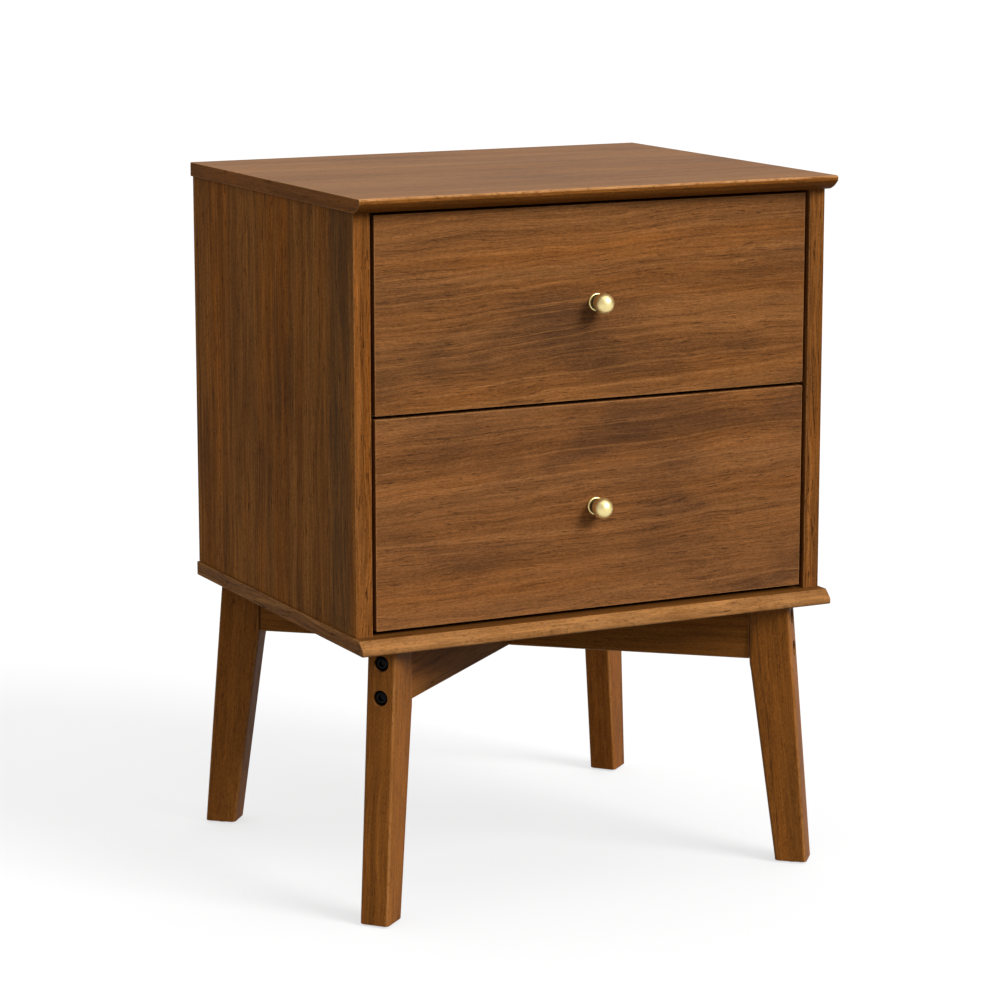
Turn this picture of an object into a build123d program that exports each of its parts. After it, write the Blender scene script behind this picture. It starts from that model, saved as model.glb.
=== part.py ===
from build123d import *

import os
from math import cos, radians, sin

# Nightstand with two drawers on a splayed cross base, in millimetres.
# Origin: on the floor, under the centre of the overall envelope.
# +X is the right-hand side seen from the front, the drawers open towards -Y, +Z is up.

# ---- driving dimensions -------------------------------------------------------------------
overall_height = 635
top_width = 468.5
top_depth = 379
panel_thickness = 13          # top and bottom panels
side_thickness = 15.5
side_overhang = 2.5           # top and bottom panels past the side panels
front_overhang = 18.5
envelope_depth = 401.4        # knobs to the back feet
carcass_floor = 257           # upper face of the bottom panel
back_thickness = 5
back_inset = 3

nose_height = 4.5             # upright strip on the front edge of the top
top_bevel = 13                # how far the top's front edge slopes back underneath
bottom_bevel = 7.5             # how far the bottom panel's front edge slopes back on top
arris_radius = 1.2

front_recess = 1              # drawer faces behind the side panels' front edges
front_thickness = 18
gap_side = 4
gap_top = 3
gap_between = 3
gap_bottom = 3.5
upper_share = 0.482           # upper drawer's share of the two fronts

slide_space = 12.7            # drawer box to side panel
box_wall = 12
box_length = 302
box_rise = 14                 # box bottom above the front's lower edge
box_drop = 30                 # box top below the front's upper edge
bottom_thickness = 5
groove_depth = 6
groove_rise = 8
slide_length = 300
slide_rise = 45               # slide centre above the box bottom
slide_set_back = 2            # slides behind the back of the drawer front
slide_gauge = 1.2
slide_half_heights = {"outer": 20, "middle": 17.6, "inner": 14.5}
outer_lip = 10.5              # outer channel, from the side panel inwards
middle_web, middle_lip = 3.1, 9.6    # middle channel, from the side panel inwards
inner_lip = 6.9               # inner channel, from the drawer box outwards

front_edge_radius = 1
front_screw_radius = 1.75
front_screw_head_radius = 4
front_screw_head_height = 2.5
front_screw_bite = 12
front_screw_x = 150
front_screw_drop, front_screw_lift = 25, 40    # below and above the box's mid height

ball_radius = 9.2
ball_reach = 14.2             # ball centre in front of the drawer face
stem_radius = 3.4
rosette_radius = 8
rosette_thickness = 2.5
knob_screw_radius = 2
knob_screw_head_radius = 4.5
knob_screw_head_height = 2.5
knob_thread = 8               # screw inside the knob's stem

leg_angle = 40.5              # legs' plan angle from the X axis
leg_thickness = 27
leg_top_reach = 271           # outer face at the top, from the base centre
leg_foot_reach = 291.4
leg_foot_width = 29.4
leg_knee_reach = 235          # inner face, upright beside the rail
knee_radius = 70
leg_edge_radius = 2.5
rail_thickness = 20
rail_height = 53
pad_radius = 9
pad_thickness = 1.5

divider_depth = 40
divider_thickness = 16
divider_set_back = 4

bolt_spacing = 30
bolt_rise = 10                # lower bolt above the rail's lower edge
bolt_radius = 3
bolt_head_radius = 6.5
bolt_head_height = 4.5
counterbore_radius = 7
counterbore_depth = 6
socket_radius = 2.6
socket_depth = 3
barrel_radius = 5
barrel_length = 16
barrel_reach = 200
bolt_past_barrel = 4
base_screw_reach = 110
base_screw_radius = 2.5
base_screw_head_radius = 4.5
base_screw_head_height = 3
base_screw_clearance = 0.5
base_screw_seat = 18          # counterbore depth in the rail
base_screw_bite = 9           # thread in the bottom panel

dowel_radius = 3
dowel_length = 20
dowel_in_panel = 9
dowel_pitch = 130

# ---- derived planes -----------------------------------------------------------------------
knob_proud = ball_reach + ball_radius - front_recess - front_overhang    # past the top's nose
front_y = knob_proud - envelope_depth / 2
back_y = front_y + top_depth
side_front_y = front_y + front_overhang
side_centre_y = (side_front_y + back_y) / 2
side_outer_x = top_width / 2 - side_overhang
side_inner_x = side_outer_x - side_thickness
carcass_ceiling = overall_height - panel_thickness
carcass_under = carcass_floor - panel_thickness
opening_height = carcass_ceiling - carcass_floor

face_y = side_front_y + front_recess
front_back_y = face_y + front_thickness
fronts_height = opening_height - gap_top - gap_between - gap_bottom
upper_height = fronts_height * upper_share
lower_height = fronts_height - upper_height
drawer_z = {"lower": carcass_floor + gap_bottom,
            "upper": carcass_floor + gap_bottom + lower_height + gap_between}
drawer_height = {"lower": lower_height, "upper": upper_height}
box_outer_x = side_inner_x - slide_space
box_back_y = front_back_y + box_length

# The base is centred so that the back feet reach the envelope's back plane.
foot_y = ((leg_foot_reach - leg_edge_radius) * sin(radians(leg_angle))
          + (leg_thickness / 2 - leg_edge_radius) * cos(radians(leg_angle)) + leg_edge_radius)
base_y = envelope_depth / 2 - foot_y
rail_bottom = carcass_under - rail_height
bolt_heights = [rail_bottom + bolt_rise, rail_bottom + bolt_rise + bolt_spacing]

sides = {"left": -1, "right": 1}
corners = {"front_left": (-1, -1), "front_right": (1, -1),
           "back_left": (-1, 1), "back_right": (1, 1)}
dowel_ys = [side_centre_y - dowel_pitch, side_centre_y, side_centre_y + dowel_pitch]
dowel_x = (side_outer_x + side_inner_x) / 2

os.makedirs("parts", exist_ok=True)


def finish(piece, name):
    """Label a finished piece and write its STEP file."""
    piece.part.label = name
    export_step(piece.part, f"parts/{name}.step")


def block(x, y, z, mode=Mode.ADD):
    """Box between pairs of limits, as (low, high) on each axis."""
    with BuildSketch(Plane.XY.offset(z[0])) as outline:
        with Locations(((x[0] + x[1]) / 2, (y[0] + y[1]) / 2)):
            Rectangle(x[1] - x[0], y[1] - y[0])
    extrude(outline.sketch, amount=z[1] - z[0], mode=mode)


def rod(plane, radius, length, mode=Mode.ADD):
    """Round bar or hole that starts on a plane and runs along its normal."""
    with BuildSketch(plane) as outline:
        Circle(radius)
    extrude(outline.sketch, amount=length, mode=mode)


def radial(corner):
    """Unit vector from the base centre towards one leg, in plan."""
    sx, sy = corner
    return Vector(sx * cos(radians(leg_angle)), sy * sin(radians(leg_angle)), 0)


def at_reach(corner, reach, z):
    """Point at a distance from the base centre along one leg's direction."""
    return Vector(0, base_y, z) + radial(corner) * reach


def leg_outer(z):
    """Reach of a leg's sloping outer face at a height."""
    return leg_foot_reach + (leg_top_reach - leg_foot_reach) * z / carcass_under


# ---- carcass ------------------------------------------------------------------------------
def drill_dowels(z, depth):
    """Blind dowel holes along both side panels, rising from a height."""
    for x in (-dowel_x, dowel_x):
        for y in dowel_ys:
            rod(Plane((x, y, z)), dowel_radius, depth, Mode.SUBTRACT)


def base_screw_points():
    return [at_reach(corner, base_screw_reach, 0) for corner in corners.values()]


with BuildPart() as top_panel:
    with BuildSketch(Plane.YZ.offset(-top_width / 2)):
        with BuildLine():
            Polyline((front_y, overall_height), (back_y, overall_height), (back_y, carcass_ceiling),
                     (front_y + top_bevel, carcass_ceiling), (front_y, overall_height - nose_height),
                     close=True)
        make_face()
    extrude(amount=top_width)
    fillet(top_panel.edges().filter_by(Axis.X).group_by(Axis.Y)[0], arris_radius)
    drill_dowels(carcass_ceiling, dowel_in_panel)
finish(top_panel, "top_panel")

with BuildPart() as bottom_panel:
    with BuildSketch(Plane.YZ.offset(-top_width / 2)):
        with BuildLine():
            Polyline((front_y, carcass_under), (back_y, carcass_under), (back_y, carcass_floor),
                     (front_y + bottom_bevel, carcass_floor), (front_y, carcass_under + nose_height),
                     close=True)
        make_face()
    extrude(amount=top_width)
    fillet(bottom_panel.edges().filter_by(Axis.X).group_by(Axis.Y)[0], arris_radius)
    drill_dowels(carcass_floor - dowel_in_panel, dowel_in_panel)
    for point in base_screw_points():
        rod(Plane((point.X, point.Y, carcass_under)), base_screw_radius, base_screw_bite, Mode.SUBTRACT)
finish(bottom_panel, "bottom_panel")

for side, sign in sides.items():
    with BuildPart() as side_panel:
        block(sorted((sign * side_inner_x, sign * side_outer_x)), (side_front_y, back_y),
              (carcass_floor, carcass_ceiling))
        fillet(side_panel.edges().filter_by(Axis.Z).group_by(Axis.Y)[0], arris_radius)
        drill_dowels(carcass_floor, dowel_length - dowel_in_panel)
        drill_dowels(carcass_ceiling - dowel_length + dowel_in_panel, dowel_length - dowel_in_panel)
    finish(side_panel, f"side_panel_{side}")

with BuildPart() as back_panel:
    block((-side_inner_x, side_inner_x), (back_y - back_inset - back_thickness, back_y - back_inset),
          (carcass_floor, carcass_ceiling))
finish(back_panel, "back_panel")

divider_z = drawer_z["upper"] - gap_between / 2
with BuildPart() as divider_rail:
    block((-side_inner_x, side_inner_x),
          (front_back_y + divider_set_back, front_back_y + divider_set_back + divider_depth),
          (divider_z - divider_thickness / 2, divider_z + divider_thickness / 2))
finish(divider_rail, "divider_rail")

with BuildPart() as carcass_dowels:
    for x in (-dowel_x, dowel_x):
        for y in dowel_ys:
            rod(Plane((x, y, carcass_floor - dowel_in_panel)), dowel_radius, dowel_length)
            rod(Plane((x, y, carcass_ceiling - dowel_length + dowel_in_panel)), dowel_radius, dowel_length)
finish(carcass_dowels, "carcass_dowels")


# ---- cross base ---------------------------------------------------------------------------
def upright(corner):
    """Plane of one leg: local x points outwards, local y is up, normal is tangential."""
    return Plane((0, base_y, 0), x_dir=radial(corner), z_dir=radial(corner).cross(Vector(0, 0, 1)))


def rail_plane(corner, z):
    """Horizontal plane with local x along a rail that ends at the given leg."""
    return Plane((0, base_y, z), x_dir=radial(corner), z_dir=(0, 0, 1))


def bolt_plane(corner, reach, z):
    """Plane facing inwards along a leg bolt's axis."""
    return Plane(at_reach(corner, reach, z), z_dir=-radial(corner))


def hidden_side(corner):
    """Horizontal unit vector square to a rail, towards the back."""
    across = radial(corner).cross(Vector(0, 0, 1))
    return across if across.Y > 0 else -across


bolt_end_reach = barrel_reach - barrel_radius - bolt_past_barrel
barrel_depth = rail_thickness / 2 + barrel_length / 2 - 1


def drill_rail_end(corner):
    """Bolt holes into a rail's end, and the cross holes for their barrel nuts."""
    for z in bolt_heights:
        rod(bolt_plane(corner, leg_knee_reach, z), bolt_radius,
            leg_knee_reach - bolt_end_reach, Mode.SUBTRACT)
        start = at_reach(corner, barrel_reach, z) + hidden_side(corner) * (rail_thickness / 2)
        rod(Plane(start, z_dir=-hidden_side(corner)), barrel_radius, barrel_depth, Mode.SUBTRACT)


def cross_rail(name, ends, crossing, notch_z):
    """Rail from one leg to the opposite one, halved where the other rail crosses it."""
    with BuildPart() as rail:
        with BuildSketch(rail_plane(ends[0], rail_bottom)):
            Rectangle(2 * leg_knee_reach, rail_thickness)
        extrude(amount=rail_height)
        with BuildSketch(rail_plane(crossing, notch_z)):
            Rectangle(4 * rail_thickness, rail_thickness)
        extrude(amount=rail_height / 2, mode=Mode.SUBTRACT)
        for corner in ends:
            drill_rail_end(corner)
            point = at_reach(corner, base_screw_reach, rail_bottom)
            rod(Plane(point), base_screw_radius, rail_height, Mode.SUBTRACT)
            rod(Plane(point), base_screw_head_radius + base_screw_clearance,
                base_screw_seat, Mode.SUBTRACT)
    finish(rail, name)


first_ends = (corners["front_left"], corners["back_right"])
second_ends = (corners["front_right"], corners["back_left"])
cross_rail("cross_rail_first", first_ends, second_ends[0], rail_bottom + rail_height / 2)
cross_rail("cross_rail_second", second_ends, first_ends[0], rail_bottom)

for place, corner in corners.items():
    with BuildPart() as leg:
        with BuildSketch(upright(corner)):
            with BuildLine():
                foot_inner = leg_foot_reach - leg_foot_width
                Polyline((leg_top_reach, carcass_under), (leg_outer(pad_thickness), pad_thickness),
                         (foot_inner, pad_thickness), (leg_knee_reach, rail_bottom),
                         (leg_knee_reach, carcass_under), close=True)
            make_face()
            fillet(vertices().sort_by_distance((leg_knee_reach, rail_bottom))[0], knee_radius)
        extrude(amount=leg_thickness / 2, both=True)
        long_edges = leg.edges().filter_by(lambda e: e.length > leg_thickness + leg_foot_width)
        fillet(long_edges, leg_edge_radius)
        for z in bolt_heights:
            mouth = leg_outer(z) + counterbore_depth
            rod(bolt_plane(corner, mouth, z), counterbore_radius, 2 * counterbore_depth, Mode.SUBTRACT)
            rod(bolt_plane(corner, mouth, z), bolt_radius, mouth - leg_knee_reach, Mode.SUBTRACT)
    finish(leg, f"leg_{place}")

with BuildPart() as leg_bolts:
    for corner in corners.values():
        for z in bolt_heights:
            seat = leg_outer(z) - counterbore_depth
            head = bolt_plane(corner, seat + bolt_head_height, z)
            rod(head, bolt_head_radius, bolt_head_height)
            rod(head, bolt_radius, seat + bolt_head_height - bolt_end_reach)
            with BuildSketch(head):
                RegularPolygon(socket_radius, 6)
            extrude(amount=socket_depth, mode=Mode.SUBTRACT)
finish(leg_bolts, "leg_bolts")

with BuildPart() as barrel_nuts:
    for corner in corners.values():
        for z in bolt_heights:
            deep = barrel_depth - rail_thickness / 2
            start = at_reach(corner, barrel_reach, z) - hidden_side(corner) * deep
            rod(Plane(start, z_dir=hidden_side(corner)), barrel_radius, barrel_length)
            rod(bolt_plane(corner, barrel_reach + 2 * barrel_radius, z), bolt_radius,
                4 * barrel_radius, Mode.SUBTRACT)
finish(barrel_nuts, "barrel_nuts")

with BuildPart() as base_screws:
    seat_z = rail_bottom + base_screw_seat
    for point in base_screw_points():
        head_z = seat_z - base_screw_head_height
        rod(Plane((point.X, point.Y, head_z)), base_screw_head_radius, base_screw_head_height)
        rod(Plane((point.X, point.Y, seat_z)), base_screw_radius, carcass_under + base_screw_bite - seat_z)
finish(base_screws, "base_screws")

with BuildPart() as foot_pads:
    for corner in corners.values():
        rod(Plane(at_reach(corner, leg_foot_reach - leg_foot_width / 2, 0)), pad_radius, pad_thickness)
finish(foot_pads, "foot_pads")


# ---- drawer slides: three nested channels on each side of each drawer -----------------------
slide_front_y = front_back_y + slide_set_back
slide_limits = (slide_front_y, slide_front_y + slide_length)


def channel(name, sign, web_x, lip_x, half_height, z):
    """Pressed channel: a web at web_x, and two lips that reach to lip_x."""
    toward = slide_gauge if lip_x > web_x else -slide_gauge
    with BuildPart() as rolled:
        web = sorted((sign * web_x, sign * (web_x + toward)))
        lip = sorted((sign * web_x, sign * lip_x))
        block(web, slide_limits, (z - half_height, z + half_height))
        block(lip, slide_limits, (z + half_height - slide_gauge, z + half_height))
        block(lip, slide_limits, (z - half_height, z - half_height + slide_gauge))
    finish(rolled, name)


for drawer, z0 in drawer_z.items():
    slide_z = z0 + box_rise + slide_rise
    for side, sign in sides.items():
        channel(f"{drawer}_slide_outer_{side}", sign, side_inner_x, side_inner_x - outer_lip,
                slide_half_heights["outer"], slide_z)
        channel(f"{drawer}_slide_middle_{side}", sign, side_inner_x - middle_web,
                side_inner_x - middle_lip, slide_half_heights["middle"], slide_z)
        channel(f"{drawer}_slide_inner_{side}", sign, box_outer_x, box_outer_x + inner_lip,
                slide_half_heights["inner"], slide_z)

# ---- drawers ------------------------------------------------------------------------------
front_half_width = side_inner_x - gap_side

for drawer, z0 in drawer_z.items():
    z1 = z0 + drawer_height[drawer]
    box_z0 = z0 + box_rise
    box_z1 = z1 - box_drop
    wall_y = front_back_y + box_wall
    inner_x = box_outer_x - box_wall
    knob_z = (z0 + z1) / 2
    face_axis = Plane((0, face_y, knob_z), z_dir=(0, 1, 0))
    floor_box = ((-inner_x - groove_depth, inner_x + groove_depth),
                 (wall_y - groove_depth, box_back_y - box_wall + groove_depth),
                 (box_z0 + groove_rise, box_z0 + groove_rise + bottom_thickness))
    screw_mid_z = (box_z0 + box_z1) / 2
    screw_points = [(x, z) for x in (-front_screw_x, front_screw_x)
                    for z in (screw_mid_z - front_screw_drop, screw_mid_z + front_screw_lift)]

    with BuildPart() as drawer_front:
        block((-front_half_width, front_half_width), (face_y, front_back_y), (z0, z1))
        fillet(drawer_front.faces().sort_by(Axis.Y)[0].edges(), front_edge_radius)
        rod(face_axis, knob_screw_radius, front_thickness, Mode.SUBTRACT)
        for x, z in screw_points:
            rod(Plane((x, front_back_y, z), z_dir=(0, -1, 0)), front_screw_radius,
                front_screw_bite, Mode.SUBTRACT)
    finish(drawer_front, f"{drawer}_drawer_front")

    for side, sign in sides.items():
        with BuildPart() as box_side:
            block(sorted((sign * inner_x, sign * box_outer_x)), (front_back_y, box_back_y),
                  (box_z0, box_z1))
            block(*floor_box, mode=Mode.SUBTRACT)
        finish(box_side, f"{drawer}_box_side_{side}")

    with BuildPart() as box_front:
        block((-inner_x, inner_x), (front_back_y, wall_y), (box_z0, box_z1))
        block(*floor_box, mode=Mode.SUBTRACT)
        rod(Plane((0, front_back_y, knob_z), z_dir=(0, 1, 0)), knob_screw_radius, box_wall, Mode.SUBTRACT)
        for x, z in screw_points:
            inside = Plane((x, wall_y, z), z_dir=(0, -1, 0))
            rod(inside, front_screw_radius, box_wall, Mode.SUBTRACT)
            rod(inside, front_screw_head_radius, front_screw_head_height, Mode.SUBTRACT)
    finish(box_front, f"{drawer}_box_front")

    with BuildPart() as box_back:
        block((-inner_x, inner_x), (box_back_y - box_wall, box_back_y), (box_z0, box_z1))
        block(*floor_box, mode=Mode.SUBTRACT)
    finish(box_back, f"{drawer}_box_back")

    with BuildPart() as box_bottom:
        block(*floor_box)
    finish(box_bottom, f"{drawer}_box_bottom")

    with BuildPart() as front_screws:
        for x, z in screw_points:
            inside = Plane((x, wall_y, z), z_dir=(0, -1, 0))
            rod(inside, front_screw_head_radius, front_screw_head_height)
            rod(inside, front_screw_radius, box_wall + front_screw_bite)
    finish(front_screws, f"{drawer}_front_screws")

    with BuildPart() as rosette:
        with BuildSketch(Plane.YZ):
            with BuildLine():
                Polyline((face_y, knob_z + knob_screw_radius), (face_y, knob_z + rosette_radius),
                         (face_y - rosette_thickness / 2, knob_z + rosette_radius))
                RadiusArc((face_y - rosette_thickness / 2, knob_z + rosette_radius),
                          (face_y - rosette_thickness, knob_z + rosette_radius - rosette_thickness / 2),
                          -rosette_thickness / 2)
                Polyline((face_y - rosette_thickness, knob_z + rosette_radius - rosette_thickness / 2),
                         (face_y - rosette_thickness, knob_z + knob_screw_radius),
                         (face_y, knob_z + knob_screw_radius))
            make_face()
        revolve(axis=Axis((0, face_y, knob_z), (0, 1, 0)))
    finish(rosette, f"{drawer}_knob_rosette")

    with BuildPart() as knob:
        rod(Plane((0, face_y - rosette_thickness, knob_z), z_dir=(0, -1, 0)), stem_radius,
            ball_reach - rosette_thickness)
        with Locations((0, face_y - ball_reach, knob_z)):
            Sphere(ball_radius)
        rod(Plane((0, face_y - rosette_thickness, knob_z), z_dir=(0, -1, 0)), knob_screw_radius,
            knob_thread, Mode.SUBTRACT)
    finish(knob, f"{drawer}_knob")

    with BuildPart() as knob_screw:
        head_plane = Plane((0, wall_y + knob_screw_head_height, knob_z), z_dir=(0, -1, 0))
        rod(head_plane, knob_screw_head_radius, knob_screw_head_height)
        rod(head_plane, knob_screw_radius,
            knob_screw_head_height + box_wall + front_thickness + rosette_thickness + knob_thread)
    finish(knob_screw, f"{drawer}_knob_screw")
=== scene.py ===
"""Two-drawer nightstand on a splayed cross base, with its studio."""
from math import cos, pi, radians, sin

import bmesh
import bpy
import numpy as np
from bpy.props import FloatProperty, FloatVectorProperty, PointerProperty
from mathutils import Matrix, Vector


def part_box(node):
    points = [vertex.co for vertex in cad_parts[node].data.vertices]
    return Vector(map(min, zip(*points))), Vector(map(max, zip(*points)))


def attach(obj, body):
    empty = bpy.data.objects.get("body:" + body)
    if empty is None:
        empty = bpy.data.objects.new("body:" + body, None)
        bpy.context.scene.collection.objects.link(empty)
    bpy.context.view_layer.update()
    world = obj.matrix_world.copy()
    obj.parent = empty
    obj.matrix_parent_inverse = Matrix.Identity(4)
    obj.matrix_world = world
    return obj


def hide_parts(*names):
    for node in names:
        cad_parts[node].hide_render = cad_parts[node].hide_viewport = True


bl_info = {
    "name": "Two-Drawer Nightstand",
    "version": (1, 0, 0),
    "blender": (4, 5, 0),
    "location": "View3D > Sidebar > Nightstand",
    "description": "Builds a stained two-drawer nightstand on its jointed frame, and a pale studio",
    "category": "Add Mesh",
}

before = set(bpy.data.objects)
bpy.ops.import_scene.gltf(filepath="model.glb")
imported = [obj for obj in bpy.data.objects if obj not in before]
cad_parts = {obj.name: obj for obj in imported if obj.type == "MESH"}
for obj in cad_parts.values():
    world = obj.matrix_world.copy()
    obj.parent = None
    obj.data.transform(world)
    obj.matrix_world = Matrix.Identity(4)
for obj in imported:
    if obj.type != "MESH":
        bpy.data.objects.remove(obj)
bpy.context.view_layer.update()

SIDES = {"left": -1, "right": 1}
DRAWERS = ("upper", "lower")
CORNERS = {"front_left": (-1, -1), "front_right": (1, -1),
           "back_left": (-1, 1), "back_right": (1, 1)}
UP = Vector((0, 0, 1))
SMOOTH_ANGLE = radians(40)


# ---- sizes and colours a user would change --------------------------------------------------
def length(name, description, default):
    return FloatProperty(name=name, description=description, default=default, unit="LENGTH",
                         precision=4)


def colour(name, description, default):
    return FloatVectorProperty(name=name, description=description, default=default,
                               subtype="COLOR", size=3, min=0, max=1)


class NightstandFinish(bpy.types.PropertyGroup):
    """Colours of the stain and the metals"""
    stain_light: colour("Stain, light", "Where the stain took least", (0.245, 0.106, 0.030))
    stain_mid: colour("Stain, middle", "Most of the wood", (0.158, 0.062, 0.0155))
    stain_dark: colour("Stain, dark", "Blotches and late growth", (0.078, 0.035, 0.013))
    stain_red: colour("Stain, red", "Warm streaks along the grain", (0.235, 0.082, 0.014))
    # Also the painted highlight on the noses of the top and bottom panels.
    stain_pale: colour("Stain, rubbed", "Along worn edges", (0.360, 0.170, 0.060))
    pore: colour("Pores", "Open pores filled with stain", (0.030, 0.012, 0.005))
    plywood: colour("Box wood", "Drawer boxes", (0.560, 0.400, 0.230))
    brass: colour("Brass", "Knobs and their rosettes", (0.850, 0.700, 0.330))
    # Painted shade: darkens the rosettes' sunk face, where the ball shades it and is mirrored in it.
    hollow_shade: colour("Patina", "Dark lacquer in the rosettes' hollow", (0.040, 0.026, 0.012))
    steel: colour("Zinc", "Slides and screws", (0.560, 0.570, 0.590))
    black: colour("Bolt caps", "Glossy caps in the legs", (0.002, 0.002, 0.002))


class NightstandCase(bpy.types.PropertyGroup):
    """Sizes of the case's visible detail"""
    arris: length("Arris", "Softened edge of panels and fronts", 0.0008)
    band: length("Edge band", "Solid band on the front edge of the side panels", 0.0012)
    nose: length("Nose", "Upright strip on the front of the top and bottom panels", 0.0045)
    nose_radius: length("Nose radius", "Rounding of the nose's outer edge", 0.0020)
    top_bevel: length("Top bevel", "How far the top slopes back underneath", 0.0130)
    bottom_bevel: length("Bottom bevel", "How far the bottom panel slopes back on top", 0.0075)


class NightstandBase(bpy.types.PropertyGroup):
    """Sizes of the legs and rails"""
    leg_angle: FloatProperty(name="Leg angle", description="Plan angle of the legs from the X axis",
                             default=radians(40.5), subtype="ANGLE")
    thickness: length("Leg thickness", "Across the leg", 0.027)
    top_reach: length("Top reach", "Base centre to a leg's outer face at the top", 0.271)
    foot_reach: length("Foot reach", "Base centre to a leg's outer face at the foot", 0.2914)
    foot_width: length("Foot width", "Along the leg's direction at the foot", 0.0294)
    knee_reach: length("Knee reach", "Base centre to a leg's upright inner face", 0.235)
    leg_arris: length("Leg arris", "Rounding along the legs", 0.0032)
    bolt_spacing: length("Bolt spacing", "Between the two bolts of a leg", 0.030)
    bolt_rise: length("Bolt rise", "Lower bolt above the rail's lower edge", 0.010)
    cap_radius: length("Cap radius", "Black cap over each bolt", 0.0068)
    bore_radius: length("Bore radius", "Counterbore round each cap", 0.007)
    bore_depth: length("Bore depth", "Cap's seat below the leg's outer face", 0.006)
    rail_thickness: length("Rail thickness", "Across the rail", 0.020)


class NightstandStudio(bpy.types.PropertyGroup):
    """Camera, lights and floor"""
    camera_place: FloatVectorProperty(name="Camera", description="Where the camera stands", size=3,
                                      default=(-1.3975, -2.7639, 0.9252), subtype="TRANSLATION")
    heading: FloatProperty(name="Heading", description="Camera turned right of +Y",
                           default=radians(26.752), subtype="ANGLE")
    tilt: FloatProperty(name="Tilt", description="Camera tipped down", default=radians(10.933),
                        subtype="ANGLE")
    lens: FloatProperty(name="Lens", description="Focal length", default=122.4, unit="CAMERA")
    key: FloatProperty(name="Key", description="Broad light from the front right", default=3.7, min=0)
    overhead: FloatProperty(name="Overhead", description="Broad light from above", default=1.5, min=0)
    fill: FloatProperty(name="Fill", description="Soft light from the room", default=0.68, min=0)
    floor: colour("Floor", "Pale studio floor", (0.22, 0.22, 0.22))
    floor_glow: FloatProperty(name="Floor glow", description="Light that comes up through the floor",
                              default=0.67, min=0)


# ---- mesh helpers ---------------------------------------------------------------------------
def arc(centre, radius, start, end, steps=6):
    """Points along an arc, angles in degrees."""
    return [(centre[0] + radius * cos(radians(start + (end - start) * i / steps)),
             centre[1] + radius * sin(radians(start + (end - start) * i / steps)))
            for i in range(steps + 1)]


def soften(bm, radius, segments=2, sharper_than=radians(35)):
    """Rounds every arris and marks the new faces as half worn."""
    worn = bm.faces.layers.float.get("arris") or bm.faces.layers.float.new("arris")
    edges = [e for e in bm.edges if e.is_manifold and e.calc_face_angle() > sharper_than]
    done = bmesh.ops.bevel(bm, geom=edges, offset=radius, segments=segments, profile=0.5,
                           affect="EDGES", clamp_overlap=True)
    for face in done["faces"]:
        face[worn] = 0.5
    return bm


def mark_worn_and_highlit(bm, chosen):
    """Marks the chosen faces as worn edges, which take the lighter edge colour; on the noses of the top
    and bottom panels that colour is also a painted highlight.
    """
    worn = bm.faces.layers.float.get("arris") or bm.faces.layers.float.new("arris")
    bm.normal_update()
    for face in bm.faces:
        if chosen(face):
            face[worn] = 1.0


def board(low, high, arris):
    """Board between two corners with softened arrises."""
    bm = bmesh.new()
    bmesh.ops.create_cube(bm, size=1)
    size = Vector(high) - Vector(low)
    bmesh.ops.scale(bm, vec=size, verts=bm.verts)
    bmesh.ops.translate(bm, vec=(Vector(low) + Vector(high)) / 2, verts=bm.verts)
    return soften(bm, arris) if arris else bm


def prism(outline, start, end, place):
    """Closed prism: an outline placed at two stations by place(u, v, station)."""
    bm = bmesh.new()
    first = [bm.verts.new(place(u, v, start)) for u, v in outline]
    last = [bm.verts.new(place(u, v, end)) for u, v in outline]
    bm.faces.new(first)
    bm.faces.new(reversed(last))
    for i in range(len(outline)):
        j = (i + 1) % len(outline)
        bm.faces.new((first[j], first[i], last[i], last[j]))
    bmesh.ops.recalc_face_normals(bm, faces=bm.faces)
    return bm


def loft(rings):
    """Closed skin over rings of points, capped at both ends."""
    bm = bmesh.new()
    verts = [[bm.verts.new(p) for p in ring] for ring in rings]
    for a, b in zip(verts, verts[1:]):
        for i in range(len(a)):
            j = (i + 1) % len(a)
            bm.faces.new((a[i], a[j], b[j], b[i]))
    bm.faces.new(reversed(verts[0]))
    bm.faces.new(verts[-1])
    bmesh.ops.recalc_face_normals(bm, faces=bm.faces)
    return bm


def turned(profile, centre, axis, steps=48):
    """Lathe work: (distance along the axis, radius) pairs, closed on the axis at both ends."""
    turn = Vector(axis).to_track_quat("Z", "Y").to_matrix()
    bm = bmesh.new()
    rows = []
    for along, radius in profile:
        if radius == 0:
            ring = [(0, 0, along)]
        else:
            angles = [2 * pi * i / steps for i in range(steps)]
            ring = [(radius * cos(a), radius * sin(a), along) for a in angles]
        rows.append([bm.verts.new(Vector(centre) + turn @ Vector(point)) for point in ring])
    for a, b in zip(rows, rows[1:]):
        for i in range(steps):
            j = (i + 1) % steps
            corners = [a[i % len(a)], a[j % len(a)], b[j % len(b)], b[i % len(b)]]
            unique = list(dict.fromkeys(corners))
            if len(unique) > 2:
                bm.faces.new(unique)
    bmesh.ops.recalc_face_normals(bm, faces=bm.faces)
    return bm


def merged(parts):
    """One bmesh that holds several."""
    whole = bmesh.new()
    for part in parts:
        mesh = bpy.data.meshes.new("part")
        part.to_mesh(mesh)
        part.free()
        whole.from_mesh(mesh)
        bpy.data.meshes.remove(mesh)
    return whole


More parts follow.
